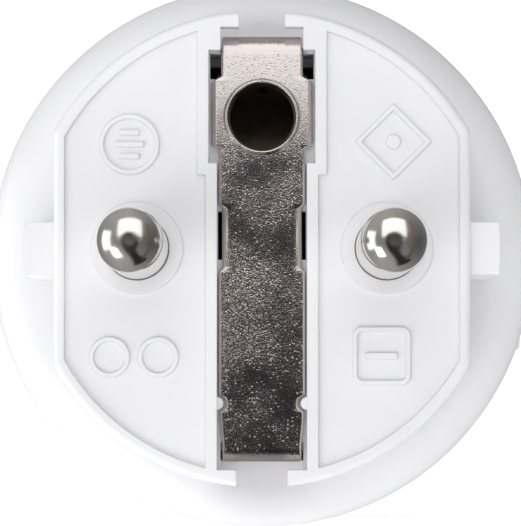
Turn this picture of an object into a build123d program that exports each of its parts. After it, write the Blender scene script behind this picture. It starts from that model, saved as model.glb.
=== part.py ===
"""Compact plug-in power meter: a round hybrid earthed plug in one end, an earthed outlet in the other.

Frame: millimetres. The origin is midway between the two plug pins on the plug's engagement face.
+Z is up (the side of the earth-pin socket), the pins point along -Y and the housing runs along +Y.
"""
import os
from math import sqrt

from build123d import *

os.makedirs("parts", exist_ok=True)

# ---- plug end: the standard 4.8 mm two-pin plug with side and pin earthing ----
pin_pitch = 19.0
pin_r = 2.4
pin_length = 19.0
nose_r = 18.2
nose_flat = 15.87
nose_depth = 16.0
rim_edge = 0.5
panel_drop = 0.3
rim_width = 0.95
pin_ring_r = 3.5
rib_height = 4.0
rib_setback = 0.7

# ---- earth strap in the face channel ----
strap_width = 6.1
strap_gauge = 0.8
strap_sink = 0.7
strap_half_span = 16.25
strap_bend = strap_gauge + 0.6
strap_foot_bend = strap_gauge + 0.15
hook_inner_z = 16.85
strap_end_y = 24.0
waist_width = 5.2
waist_low = -1.2
waist_high = 3.3
foot_trim = 0.2
earth_pin_z = 10.0
earth_hole_r = 2.45
earth_collar_r = 2.74
earth_collar_rise = 0.5
earth_cup_y = 17.2
channel_half = 3.42
channel_wide_half = 4.06
channel_step_z = 6.46
channel_neck_z = 15.1
rail_width = 0.88
wing_low = 7.7
wing_high = 12.8

# ---- housing barrel ----
body_r = 22.2
shoulder_round = 3.2
overall_y = 51.0
seam_y = overall_y - 7.0
widest_y = seam_y - 10.0
snap_y = seam_y - 6.0
seam_gap = 0.25
wall = 1.6
nose_wall = 1.5
face_wall = 2.3

# ---- outlet end ----
recess_depth = 17.5
recess_r = 19.3
outlet_floor_gauge = 2.0
floor_ledge = 0.3
guide_flat = 16.3
guide_half = 9.5
guide_slot = 4.7
outlet_hole_r = 2.8

# ---- shutter pack behind the outlet floor ----
shutter_gauge = 2.1
shutter_room = 2.5
shutter_travel = 6.2
shutter_half = 13.4
carrier_floor = 1.6
carrier_hole_r = 3.5
carrier_r = 16.4

# ---- boards ----
board_y = 10.5
board_gauge = 1.6
side_board_x = 14.2
side_board_gauge = 1.2

# ---- button ----
button_y = 22.4
button_r = 3.45
button_travel = 0.5
lamp_z = -6.5

# ---- clearances ----
fit_gap = 0.05
slide_gap = 0.1
loose_gap = 0.3

# ---- derived sizes ----
pin_x = pin_pitch / 2
floor_front = overall_y - recess_depth
floor_back = floor_front - outlet_floor_gauge
floor_r = recess_r + floor_ledge
cavity_r = body_r - wall
cup_r = cavity_r - loose_gap
carrier_front = floor_back
chamber_back = floor_back - shutter_room
carrier_back = chamber_back - carrier_floor
board_front = board_y + board_gauge
strap_back = strap_sink + strap_gauge
leg_inner_z = strap_half_span - strap_gauge
groove_floor = leg_inner_z - fit_gap
channel_neck_half = strap_width / 2 + slide_gap
shoulder_r = body_r - 0.4
contact_base_y = board_front + 1.5
contact_top_y = carrier_back - 0.2


def station(y):
    """Sketch plane square to the plug axis: local x is +X, local y is +Z."""
    return Plane.XZ.offset(-y)


def flatted_disc(radius, half_width):
    """A disc cut by two flats: the outline of the plug's nose."""
    Circle(radius)
    Rectangle(2 * half_width, 2 * radius + 1, mode=Mode.INTERSECT)


def box_between(x0, x1, y0, y1, z0, z1, mode=Mode.ADD):
    """An axis-aligned box from any two opposite corners."""
    with Locations(((x0 + x1) / 2, (y0 + y1) / 2, (z0 + z1) / 2)):
        Box(abs(x1 - x0), abs(y1 - y0), abs(z1 - z0), mode=mode)


def rod_y(x, z, radius, y0, y1, mode=Mode.ADD):
    """A round bar along Y."""
    with BuildSketch(station(y0)) as section:
        with Locations((x, z)):
            Circle(radius)
    extrude(section.sketch, amount=-(y1 - y0), mode=mode)


def rod_x(y, z, radius, x0, x1, mode=Mode.ADD):
    """A round bar along X."""
    with BuildSketch(Plane.YZ.offset(x0)) as section:
        with Locations((y, z)):
            Circle(radius)
    extrude(section.sketch, amount=x1 - x0, mode=mode)


def save(builder, name):
    """Label the finished sub-part and write its file."""
    builder.part.label = name
    export_step(builder.part, "parts/" + name + ".step")


def chord(radius, offset):
    """Half chord of a circle at a distance from its centre."""
    return sqrt(radius * radius - offset * offset)


# =====================================================================================
# Rear housing: flatted nose, shoulder and barrel in one moulding
# =====================================================================================
with BuildPart() as rear_housing:
    with BuildSketch(station(0)):
        flatted_disc(nose_r, nose_flat)
    extrude(amount=-(nose_depth + 1))
    fillet(faces().sort_by(Axis.Y)[0].edges(), rim_edge)
    # side guide ribs
    with BuildSketch(station(rib_setback)):
        Circle(nose_r)
        Rectangle(2 * nose_r, rib_height, mode=Mode.INTERSECT)
    extrude(amount=-(nose_depth + 1 - rib_setback))
    # shoulder and barrel
    with BuildSketch(Plane.XY):
        with BuildLine():
            Line((0, nose_depth), (shoulder_r - shoulder_round, nose_depth))
            RadiusArc(
                (shoulder_r - shoulder_round, nose_depth),
                (shoulder_r, nose_depth + shoulder_round),
                -shoulder_round,
            )
            Line((shoulder_r, nose_depth + shoulder_round), (body_r, widest_y))
            Line((body_r, widest_y), (body_r, seam_y))
            Line((body_r, seam_y), (0, seam_y))
            Line((0, seam_y), (0, nose_depth))
        make_face()
    revolve(axis=Axis.Y)
    # hollow nose and barrel
    with BuildSketch(station(face_wall)):
        flatted_disc(nose_r - nose_wall, nose_flat - nose_wall)
    extrude(amount=-(nose_depth + wall + 0.1 - face_wall), mode=Mode.SUBTRACT)
    with BuildSketch(Plane.XY):
        with BuildLine():
            inner_round = shoulder_round - wall
            inner_shoulder_r = shoulder_r - wall
            Line((0, nose_depth + wall), (inner_shoulder_r - inner_round, nose_depth + wall))
            RadiusArc(
                (inner_shoulder_r - inner_round, nose_depth + wall),
                (inner_shoulder_r, nose_depth + shoulder_round),
                -inner_round,
            )
            Line((inner_shoulder_r, nose_depth + shoulder_round), (cavity_r, widest_y))
            Line((cavity_r, widest_y), (cavity_r, seam_y + 1))
            Line((cavity_r, seam_y + 1), (0, seam_y + 1))
            Line((0, seam_y + 1), (0, nose_depth + wall))
        make_face()
    revolve(axis=Axis.Y, mode=Mode.SUBTRACT)
    # backing behind the face channel, and the inner walls of the two strap grooves
    with BuildSketch(station(face_wall - 0.1)):
        flatted_disc(nose_r - nose_wall + 0.2, 5.4)
    extrude(amount=-1.3)
    for side in (1, -1):
        with BuildSketch(station(face_wall - 0.1)):
            Circle(nose_r - nose_wall + 0.2)
            with Locations((0, side * (groove_floor - 1.2 + 2))):
                Rectangle(2 * (channel_half + nose_wall), 4, mode=Mode.INTERSECT)
        extrude(amount=-(nose_depth + wall - face_wall + 0.1))
    # blind socket tube for the wall outlet's earth pin, with a shoulder that carries the board
    rod_y(0, earth_pin_z, 4.9, face_wall, board_y)
    rod_y(0, earth_pin_z, 3.9, board_y, nose_depth + 2.6)
    rod_y(0, earth_pin_z, 2.95, strap_back, earth_cup_y + loose_gap, mode=Mode.SUBTRACT)
    # two more board posts
    for side in (1, -1):
        rod_y(side * 12.4, -8.6, 1.3, face_wall, board_y)
    # face channel, wide around the earth socket and narrow below it
    box_between(-channel_half, channel_half, -0.1, strap_back,
                -hook_inner_z, channel_step_z + 0.1, mode=Mode.SUBTRACT)
    box_between(-channel_wide_half, channel_wide_half, -0.1, strap_back,
                channel_step_z, channel_neck_z, mode=Mode.SUBTRACT)
    box_between(-channel_neck_half, channel_neck_half, -0.1, strap_back,
                channel_neck_z - 0.1, hook_inner_z, mode=Mode.SUBTRACT)
    # grooves for the strap's legs, open to the outside behind a hooked rim
    for side in (1, -1):
        box_between(-channel_neck_half, channel_neck_half, strap_back - 0.1, 2.1,
                    side * (groove_floor - 0.65), side * hook_inner_z, mode=Mode.SUBTRACT)
        box_between(-channel_half, channel_half, 2.0, nose_depth,
                    side * groove_floor, side * (nose_r + 1), mode=Mode.SUBTRACT)
        box_between(-channel_half, channel_half, nose_depth - 0.1, nose_depth + wall + 0.1,
                    side * groove_floor, side * (groove_floor + 1), mode=Mode.SUBTRACT)
    # gaps in the hooked rim
    box_between(-1.75, 1.75, -0.1, 2.1, hook_inner_z - 0.5, nose_r + 1, mode=Mode.SUBTRACT)
    box_between(-1.95, 1.95, -0.1, 2.1, -nose_r - 1, 0.5 - hook_inner_z, mode=Mode.SUBTRACT)
    box_between(-channel_wide_half, channel_wide_half, -0.1, 2.1, 17.85, nose_r + 1, mode=Mode.SUBTRACT)
    # latch pockets beside the strap's waist and above its wings
    for side in (1, -1):
        box_between(side * (waist_width / 2 + 0.05), side * (channel_half - 0.07), strap_back - 0.1, 4.0,
                    waist_low + 0.35, waist_high - 0.45, mode=Mode.SUBTRACT)
        box_between(side * (strap_width / 2 + 0.05), side * (channel_wide_half - 0.1), strap_back - 0.1, 6.0,
                    wing_high + 0.15, channel_neck_z - 0.2, mode=Mode.SUBTRACT)
    # sunken face panels between the rim and the channel's rails
    with BuildSketch(station(0)):
        flatted_disc(nose_r - rim_width, nose_flat - rim_width + 0.1)
        Rectangle(2 * (channel_half + rail_width), 2 * nose_r, mode=Mode.SUBTRACT)
        with Locations((0, channel_step_z - rail_width + nose_r / 2)):
            Rectangle(2 * (channel_wide_half + rail_width), nose_r, mode=Mode.SUBTRACT)
        with Locations((-pin_x, 0), (pin_x, 0)):
            Circle(pin_ring_r, mode=Mode.SUBTRACT)
    extrude(amount=-panel_drop, mode=Mode.SUBTRACT)
    # low generic relief on the four panels: bars in a ring, a diamond, two rings, a framed bar
    with BuildSketch(station(panel_drop)):
        with Locations((-10.1, 7.9)):
            Circle(2.3)
            Circle(1.95, mode=Mode.SUBTRACT)
            Rectangle(2.2, 0.4)
        with Locations((-10.1, 7.0), (-10.1, 8.8)):
            Rectangle(1.5, 0.4)
        with Locations((10.0, 8.1)):
            RegularPolygon(2.9, 4, rotation=0)
            RegularPolygon(2.4, 4, rotation=0, mode=Mode.SUBTRACT)
            Circle(0.55)
        with Locations((-11.6, -8.3), (-7.9, -8.3)):
            Circle(1.55)
            Circle(1.2, mode=Mode.SUBTRACT)
        with Locations((9.1, -8.2)):
            RectangleRounded(4.4, 4.4, 0.7)
            RectangleRounded(3.7, 3.7, 0.4, mode=Mode.SUBTRACT)
            Rectangle(2.4, 0.5)
    extrude(amount=0.18)
    # pin bores
    for side in (1, -1):
        rod_y(side * pin_x, 0, pin_r + fit_gap, -0.1, face_wall + 2, mode=Mode.SUBTRACT)
    # button window and lamp window in the barrel
    rod_x(button_y, 0, button_r + slide_gap, 18, body_r + 1, mode=Mode.SUBTRACT)
    rod_x(button_y, lamp_z, 1.05 + fit_gap, 17, body_r + 1, mode=Mode.SUBTRACT)
    # snap groove for the outlet housing's lugs
    with BuildSketch(Plane.XY):
        with Locations((cavity_r + 0.3, snap_y)):
            Rectangle(0.7, 2.4)
    revolve(axis=Axis.Y, mode=Mode.SUBTRACT)
save(rear_housing, "rear_housing")

# =====================================================================================
# Plug pins
# =====================================================================================


def plug_pin(side):
    """One solid plug pin: round nose, collar behind the face, solder tail through the board."""
    with BuildPart() as pin:
        rod_y(side * pin_x, 0, pin_r, -pin_length, face_wall + 4.5)
        fillet(faces().sort_by(Axis.Y)[0].edges(), 2.0)
        rod_y(side * pin_x, 0, 3.6, face_wall, face_wall + 1.2)
        rod_y(side * pin_x, 0, 1.4, face_wall + 4.5, board_front + 0.7)
        chamfer(faces().sort_by(Axis.Y)[-1].edges(), 0.3)
    return pin


line_pin = plug_pin(-1)
save(line_pin, "line_pin")
neutral_pin = plug_pin(1)
save(neutral_pin, "neutral_pin")

# =====================================================================================
# Earth strap: one pressing across the face and back along both sides of the nose
# =====================================================================================
with BuildPart() as earth_strap:
    with BuildSketch(Plane.YZ.offset(-strap_width / 2)):
        with BuildLine():
            FilletPolyline(
                (strap_end_y, -(leg_inner_z + strap_gauge / 2)),
                (strap_sink + strap_gauge / 2, -(leg_inner_z + strap_gauge / 2)),
                (strap_sink + strap_gauge / 2, leg_inner_z + strap_gauge / 2),
                (strap_end_y, leg_inner_z + strap_gauge / 2),
                radius=[strap_foot_bend - strap_gauge / 2, strap_bend - strap_gauge / 2],
            )
        trace(line_width=strap_gauge)
    extrude(amount=strap_width)
    # head wings, stepped down beside the earth hole
    for side in (1, -1):
        box_between(side * 2.95, side * 3.4, strap_sink + 0.3, strap_back, wing_low, wing_high)
        with BuildSketch(station(strap_sink + 0.1)):
            with Locations((side * 3.45, (wing_low + wing_high) / 2)):
                SlotOverall(wing_high - wing_low + 0.9, 0.62, rotation=90)
        extrude(amount=-(strap_gauge - 0.1))
    # waist with raised latch edges
    for side in (1, -1):
        box_between(side * waist_width / 2, side * (strap_width / 2 + 1), 0, strap_back + 0.1,
                    waist_low, waist_high, mode=Mode.SUBTRACT)
        box_between(side * (waist_width / 2 - 0.35), side * waist_width / 2, strap_sink - 0.15, strap_back,
                    waist_low, waist_high)
        # half-round locating notches near the foot, and the slightly narrower foot below them
        rod_y(side * strap_width / 2, -11.8, 0.6, 0, strap_back + 0.1, mode=Mode.SUBTRACT)
        box_between(side * (strap_width / 2 - foot_trim), side * (strap_width / 2 + 1), 0, strap_end_y + 1,
                    -11.8, -strap_half_span - 1, mode=Mode.SUBTRACT)
    # drawn collar and hole for the wall outlet's earth pin
    rod_y(0, earth_pin_z, earth_collar_r, strap_sink - earth_collar_rise, strap_sink + 0.1)
    rod_y(0, earth_pin_z, earth_hole_r, 0, strap_back + 0.2, mode=Mode.SUBTRACT)
    fillet(faces().sort_by(Axis.Y)[0].edges(), 0.12)
    # rivet holes in the legs
    with BuildSketch(Plane.XY.offset(-strap_half_span - 1)):
        with Locations((0, 21.5)):
            Circle(1.0 + fit_gap)
    extrude(amount=2 * strap_half_span + 2, mode=Mode.SUBTRACT)
save(earth_strap, "earth_strap")

with BuildPart() as earth_sleeve:
    rod_y(0, earth_pin_z, 2.85, strap_back + 0.15, earth_cup_y)
    rod_y(0, earth_pin_z, earth_hole_r, 0, earth_cup_y - 0.4, mode=Mode.SUBTRACT)
    box_between(-0.4, 0.4, 3.0, 10, earth_pin_z, earth_pin_z + 4, mode=Mode.SUBTRACT)
    box_between(-0.4, 0.4, 3.0, 10, earth_pin_z - 4, earth_pin_z, mode=Mode.SUBTRACT)
save(earth_sleeve, "earth_sleeve")

# =====================================================================================
# Outlet housing: bezel, recess cup with side guides, floor with two contact holes
# =====================================================================================
with BuildPart() as outlet_housing:
    with BuildSketch(Plane.XY):
        with BuildLine():
            Polyline(
                (recess_r, floor_front),
                (floor_r + fit_gap, floor_front),
                (floor_r + fit_gap, floor_back - 2),
                (cup_r, floor_back - 2),
                (cup_r, seam_y + seam_gap),
                (body_r, seam_y + seam_gap),
                (body_r - 0.25, overall_y - 1.6),
            )
            RadiusArc((body_r - 0.25, overall_y - 1.6), (body_r - 1.85, overall_y), -1.6)
            Polyline(
                (body_r - 1.85, overall_y),
                (recess_r + 0.7, overall_y),
                (recess_r, overall_y - 0.9),
                (recess_r, floor_front),
            )
        make_face()
    revolve(axis=Axis.Y)
    # side guides, each split by the slot that takes a plug's rib
    with BuildSketch(station(floor_front + fit_gap)):
        Circle(recess_r + 0.2)
        Rectangle(2 * recess_r + 2, 2 * guide_half, mode=Mode.INTERSECT)
        Rectangle(2 * guide_flat, 2 * recess_r, mode=Mode.SUBTRACT)
        Rectangle(2 * recess_r + 2, guide_slot, mode=Mode.SUBTRACT)
    extrude(amount=-(recess_depth - 1.6))
    # four snap lugs on the skirt
    for angle in (45, 135, 225, 315):
        with BuildSketch(Plane.XY.rotated((0, angle, 0))):
            with Locations((cup_r + 0.2, snap_y)):
                Rectangle(0.9, 1.8)
        extrude(amount=2.5, both=True)
save(outlet_housing, "outlet_housing")

with BuildPart() as outlet_floor:
    rod_y(0, 0, floor_r, floor_back, floor_front)
    # contact holes with a lead-in, and the slots the earth clips come through
    for side in (1, -1):
        rod_y(side * pin_x, 0, outlet_hole_r, floor_back - 1, floor_front + 1, mode=Mode.SUBTRACT)
        with BuildSketch(station(floor_front)):
            with Locations((side * pin_x, 0)):
                Circle(outlet_hole_r + 0.7)
        extrude(amount=0.7, taper=45, mode=Mode.SUBTRACT)
        box_between(-3.3, 3.3, floor_back - 0.1, floor_front + 0.1,
                    side * 17.48, side * 18.72, mode=Mode.SUBTRACT)
save(outlet_floor, "outlet_floor")

# =====================================================================================
# Shutter pack: carrier, sliding shutter with two ramps, return spring
# =====================================================================================
rest_low = -shutter_travel - 4.0
rest_high = 4.2
open_high = rest_high + shutter_travel
with BuildPart() as shutter_carrier:
    rod_y(0, 0, carrier_r, carrier_back, carrier_front)
    box_between(-shutter_half - slide_gap, shutter_half + slide_gap, chamber_back, carrier_front + 1,
                rest_low, open_high, mode=Mode.SUBTRACT)
    box_between(-1.3, 1.3, chamber_back, carrier_front + 1, open_high - 1, 14.6, mode=Mode.SUBTRACT)
    for side in (1, -1):
        rod_y(side * pin_x, 0, carrier_hole_r, carrier_back - 1, carrier_front, mode=Mode.SUBTRACT)
save(shutter_carrier, "shutter_carrier")

with BuildPart() as shutter:
    shutter_back = chamber_back + (shutter_room - shutter_gauge) / 2
    shutter_front = shutter_back + shutter_gauge
    box_between(-shutter_half, shutter_half, shutter_back, shutter_front, rest_low, rest_high)
    fillet(edges().filter_by(Axis.Y), 0.8)
    for side in (1, -1):
        rod_y(side * pin_x, -shutter_travel, outlet_hole_r + slide_gap, 0, overall_y, mode=Mode.SUBTRACT)
        # ramp that a pin pushes aside
        with BuildSketch(Plane.YZ.offset(side * pin_x - outlet_hole_r)):
            with BuildLine():
                Polyline(
                    (shutter_front + 0.01, 2.9),
                    (shutter_front - 1.5, -shutter_travel + 1.5),
                    (shutter_front + 0.01, -shutter_travel + 1.5),
                    close=True,
                )
            make_face()
        extrude(amount=2 * outlet_hole_r, mode=Mode.SUBTRACT)
    # notch that seats the return spring
    box_between(-1.3, 1.3, 0, overall_y, -1.0, rest_high + 1, mode=Mode.SUBTRACT)
save(shutter, "shutter")

spring_low = -1.0
spring_high = 14.6
spring_turns = 13
spring_mean_r = 0.88
spring_wire_r = 0.14
spring_y = chamber_back + shutter_room / 2
with BuildPart() as shutter_spring:
    with BuildLine() as coil:
        Helix(
            pitch=(spring_high - spring_low - 2 * spring_wire_r) / spring_turns,
            height=spring_high - spring_low - 2 * spring_wire_r,
            radius=spring_mean_r,
            center=(0, spring_y, spring_low + spring_wire_r),
        )
    with BuildSketch(Plane(coil.line @ 0, z_dir=coil.line % 0)):
        RegularPolygon(spring_wire_r, 6)
    sweep(path=coil.line, is_frenet=True)
save(shutter_spring, "shutter_spring")

# =====================================================================================
# Outlet contacts: rolled sleeves with spring slots, standing on the board by two legs
# =====================================================================================


def outlet_contact(side):
    """One contact sleeve for an inserted plug pin."""
    x = side * pin_x
    with BuildPart() as contact:
        rod_y(x, 0, 3.2, contact_base_y, contact_top_y)
        chamfer(faces().sort_by(Axis.Y)[-1].edges(), 0.2)
        rod_y(x, 0, pin_r + fit_gap, contact_base_y - 1, contact_top_y + 1, mode=Mode.SUBTRACT)
        box_between(x - 4, x + 4, contact_base_y + 3.0, contact_top_y + 1, -0.3, 0.3, mode=Mode.SUBTRACT)
        for leg in (1, -1):
            box_between(x - 1.0, x + 1.0, board_front, contact_base_y + 0.2,
                        leg * (pin_r + fit_gap + 0.05), leg * 3.15)
    return contact


line_contact = outlet_contact(-1)
save(line_contact, "line_contact")
neutral_contact = outlet_contact(1)
save(neutral_contact, "neutral_contact")

# =====================================================================================
# Outlet earth clips, riveted to the strap's legs
# =====================================================================================
clip_gauge = 0.6
clip_foot_z = strap_half_span + clip_gauge / 2


def earth_clip(side):
    """A bent spring clip: flat foot on the strap's leg, joggle, contact bulge and flared tip."""
    with BuildPart() as clip:
        with BuildSketch(Plane.YZ.offset(-3.0)):
            with BuildLine():
                FilletPolyline(
                    (18.5, side * clip_foot_z),
                    (24.5, side * clip_foot_z),
                    (27.0, side * 18.1),
                    (floor_front + 4.5, side * 18.1),
                    (floor_front + 9.0, side * 16.35),
                    (floor_front + 12.5, side * 18.0),
                    radius=0.9,
                )
            trace(line_width=clip_gauge)
        extrude(amount=6.0)
        with BuildSketch(Plane.XY.offset(side * clip_foot_z - 2)):
            with Locations((0, 21.5)):
                Circle(1.0 + fit_gap)
        extrude(amount=4, mode=Mode.SUBTRACT)
    return clip


upper_earth_clip = earth_clip(1)
save(upper_earth_clip, "upper_earth_clip")
lower_earth_clip = earth_clip(-1)
save(lower_earth_clip, "lower_earth_clip")

with BuildPart() as earth_rivets:
    for side in (1, -1):
        with BuildSketch(Plane.XY.offset(side * (leg_inner_z + clip_foot_z + clip_gauge / 2) / 2)):
            with Locations((0, 21.5)):
                Circle(1.0)
        extrude(amount=(clip_foot_z + clip_gauge / 2 - leg_inner_z) / 2 + 0.1, both=True)
        for level in (leg_inner_z - 0.25, clip_foot_z + clip_gauge / 2 + 0.25):
            with BuildSketch(Plane.XY.offset(side * level)):
                with Locations((0, 21.5)):
                    Circle(1.7)
            extrude(amount=0.25, both=True)
save(earth_rivets, "earth_rivets")

# =====================================================================================
# Power board and what stands on it
# =====================================================================================
with BuildPart() as power_board:
    with BuildSketch(station(board_y)):
        flatted_disc(nose_r - nose_wall - 0.3, nose_flat - nose_wall - 0.3)
        Rectangle(2 * nose_r, 2 * (groove_floor - 1.2 - 0.3), mode=Mode.INTERSECT)
        with Locations((0, earth_pin_z)):
            Circle(3.9 + 0.2, mode=Mode.SUBTRACT)
        with Locations((-pin_x, 0), (pin_x, 0)):
            Circle(1.4 + slide_gap, mode=Mode.SUBTRACT)
        for z in (-5.3, -3.9, 3.9, 5.3):
            with Locations((13.0, z)):
                Circle(0.5, mode=Mode.SUBTRACT)
    extrude(amount=-board_gauge)
save(power_board, "power_board")

with BuildPart() as relay:
    box_between(-8.8, 8.8, board_front, board_front + 12.3, -13.9, -3.9)
    fillet(edges().filter_by(Axis.Y), 0.5)
    fillet(faces().sort_by(Axis.Y)[-1].edges(), 0.4)
save(relay, "relay")

with BuildPart() as shunt:
    with BuildSketch(Plane.XY.offset(-5.4)):
        with BuildLine():
            FilletPolyline((-5.6, board_y), (-5.6, 7.4), (4.0, 7.4), (4.0, board_y), radius=1.0)
        trace(line_width=0.8)
        Rectangle(40, 2 * board_y, mode=Mode.INTERSECT)
    extrude(amount=2.6)
save(shunt, "shunt")

with BuildPart() as fuse:
    with BuildSketch(Plane.YZ.offset(-12.0)):
        with Locations((board_y - 1.8, 8.2)):
            Circle(1.6)
    extrude(amount=7.0)
    fillet(edges().filter_by(GeomType.CIRCLE), 0.3)
    for x in (-11.3, -5.7):
        box_between(x - 0.3, x + 0.3, board_y - 1.8, board_y, 7.9, 8.5)
save(fuse, "fuse")

with BuildPart() as varistor:
    rod_y(8.4, 8.2, 3.3, board_y - 3.4, board_y - 0.4)
    fillet(edges().filter_by(GeomType.CIRCLE), 0.9)
    for x in (6.9, 9.9):
        rod_y(x, 8.2, 0.35, board_y - 1.5, board_y)
save(varistor, "varistor")

with BuildPart() as filter_capacitor:
    box_between(-6.0, 6.0, 4.6, board_y, -13.0, -8.0)
    fillet(edges().filter_by(Axis.Y), 0.3)
save(filter_capacitor, "filter_capacitor")

with BuildPart() as bridge_rectifier:
    box_between(-2.4, 2.4, board_y - 1.6, board_y - 0.1, 0.2, 3.9)
    for x in (-1.3, 1.3):
        for z in (0.2, 3.9):
            box_between(x - 0.35, x + 0.35, board_y - 0.7, board_y, z - 0.7, z + 0.7)
save(bridge_rectifier, "bridge_rectifier")

with BuildPart() as bulk_capacitor:
    rod_y(-8.9, 8.9, 3.15, board_front, board_front + 12)
    fillet(faces().sort_by(Axis.Y)[-1].edges(), 0.5)
    with BuildSketch(Plane.XY.offset(8.9)):
        with Locations((-8.9 + 3.15, board_front + 1.9)):
            Rectangle(0.5, 0.8)
    revolve(axis=Axis((-8.9, 0, 8.9), (0, 1, 0)), mode=Mode.SUBTRACT)
save(bulk_capacitor, "bulk_capacitor")

with BuildPart() as output_capacitor:
    rod_y(-2.9, 1.7, 2.5, board_front, board_front + 7)
    fillet(faces().sort_by(Axis.Y)[-1].edges(), 0.4)
save(output_capacitor, "output_capacitor")

with BuildPart() as choke:
    rod_y(8.9, 8.9, 3.2, board_front, board_front + 1.2)
    rod_y(8.9, 8.9, 2.4, board_front + 1.2, board_front + 6.8)
    rod_y(8.9, 8.9, 3.2, board_front + 6.8, board_front + 8)
save(choke, "choke")

with BuildPart() as choke_winding:
    rod_y(8.9, 8.9, 3.0, board_front + 1.3, board_front + 6.7)
    rod_y(8.9, 8.9, 2.5, board_front, board_front + 9, mode=Mode.SUBTRACT)
save(choke_winding, "choke_winding")

with BuildPart() as converter_chip:
    box_between(1.0, 5.0, board_front + 0.1, board_front + 1.6, -1.0, 4.0)
    for x in (1.0, 5.0):
        for z in (-0.4, 0.9, 2.2, 3.4):
            box_between(x - 0.6, x + 0.6, board_front, board_front + 0.7, z - 0.2, z + 0.2)
save(converter_chip, "converter_chip")

# =====================================================================================
# Control board on edge beside the neutral contact: metering chip, radio, switch and lamp
# =====================================================================================
side_board_out = side_board_x + side_board_gauge
with BuildPart() as control_board:
    box_between(side_board_x, side_board_out, 17.95, carrier_back - 0.4, -10.0, 10.0)
    fillet(edges().filter_by(Axis.X), 0.6)
    for z in (-5.3, -3.9, 3.9, 5.3):
        rod_x(19.2, z, 0.5, side_board_x - 1, side_board_out + 1, mode=Mode.SUBTRACT)
save(control_board, "control_board")

with BuildPart() as board_link_pins:
    for z in (-5.3, -3.9, 3.9, 5.3):
        box_between(12.7, 13.3, board_y - 0.7, 19.5, z - 0.3, z + 0.3)
        box_between(13.0, side_board_out + 0.5, 18.9, 19.5, z - 0.3, z + 0.3)
save(board_link_pins, "board_link_pins")

with BuildPart() as metering_chip:
    box_between(side_board_x - 1.3, side_board_x - 0.1, 20.6, 25.6, 6.2, 9.8)
    for y in (21.2, 22.5, 23.7, 25.0):
        for z in (6.2, 9.8):
            box_between(side_board_x - 0.6, side_board_x, y - 0.2, y + 0.2, z - 0.6, z + 0.6)
save(metering_chip, "metering_chip")

with BuildPart() as radio_module:
    box_between(side_board_out, side_board_out + 0.6, 20.0, 26.6, 3.7, 9.7)
save(radio_module, "radio_module")

with BuildPart() as radio_shield:
    box_between(side_board_out + 0.6, side_board_out + 2.0, 20.4, 25.0, 4.1, 9.3)
    fillet(faces().sort_by(Axis.X)[-1].edges(), 0.3)
save(radio_shield, "radio_shield")

switch_top = side_board_out + 1.8
plunger_top = switch_top + button_travel
with BuildPart() as switch_body:
    box_between(side_board_out, switch_top, button_y - 1.8, button_y + 1.8, -3.0, 3.0)
    fillet(edges().filter_by(Axis.X), 0.3)
    rod_x(button_y, 0, 0.9 + slide_gap, switch_top - 1.0, switch_top + 1, mode=Mode.SUBTRACT)
save(switch_body, "switch_body")

with BuildPart() as switch_plunger:
    rod_x(button_y, 0, 0.9, switch_top - 0.4, plunger_top)
save(switch_plunger, "switch_plunger")

button_out = chord(shoulder_r, 0) + 0.35
flange_out = chord(inner_shoulder_r, 4.3) - 0.1
with BuildPart() as button:
    rod_x(button_y, 0, button_r, flange_out - 0.2, button_out)
    fillet(faces().sort_by(Axis.X)[-1].edges(), 0.6)
    rod_x(button_y, 0, 4.3, flange_out - 0.9, flange_out)
    rod_x(button_y, 0, 1.2, plunger_top, flange_out - 0.5)
save(button, "button")

with BuildPart() as status_lamp:
    box_between(side_board_out, side_board_out + 0.8, button_y - 0.8, button_y + 0.8, lamp_z - 0.8, lamp_z + 0.8)
save(status_lamp, "status_lamp")

lamp_out = chord(shoulder_r, abs(lamp_z)) + 0.1
with BuildPart() as light_guide:
    rod_x(button_y, lamp_z, 1.05, side_board_out + 1.1, lamp_out)
    fillet(faces().sort_by(Axis.X)[-1].edges(), 0.3)
    rod_x(button_y, lamp_z, 1.7, side_board_out + 2.0, side_board_out + 2.7)
save(light_guide, "light_guide")
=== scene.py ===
"""Looks of the plug-in power meter, laid out as an add-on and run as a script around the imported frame."""

import math

import bmesh
import bpy
from mathutils import Matrix, Vector


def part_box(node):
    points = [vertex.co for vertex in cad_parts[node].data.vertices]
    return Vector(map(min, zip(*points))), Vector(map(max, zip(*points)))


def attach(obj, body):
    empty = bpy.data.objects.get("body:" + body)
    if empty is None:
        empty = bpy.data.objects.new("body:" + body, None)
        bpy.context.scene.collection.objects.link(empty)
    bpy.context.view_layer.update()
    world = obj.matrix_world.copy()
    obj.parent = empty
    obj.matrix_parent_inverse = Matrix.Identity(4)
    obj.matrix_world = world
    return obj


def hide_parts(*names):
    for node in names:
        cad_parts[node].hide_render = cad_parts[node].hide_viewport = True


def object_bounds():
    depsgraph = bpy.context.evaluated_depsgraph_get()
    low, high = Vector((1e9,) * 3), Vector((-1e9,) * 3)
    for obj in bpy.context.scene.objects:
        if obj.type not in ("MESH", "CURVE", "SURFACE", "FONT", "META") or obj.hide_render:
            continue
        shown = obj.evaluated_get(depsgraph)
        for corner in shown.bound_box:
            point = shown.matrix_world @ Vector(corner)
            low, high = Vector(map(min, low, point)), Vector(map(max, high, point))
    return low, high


bl_info = {
    "name": "Plug-in power meter",
    "version": (1, 0, 0),
    "blender": (4, 5, 0),
    "location": "View3D > Sidebar > Power meter",
    "description": "Finishes, small parts and studio of a round plug-in power meter",
    "category": "Object",
}

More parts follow.
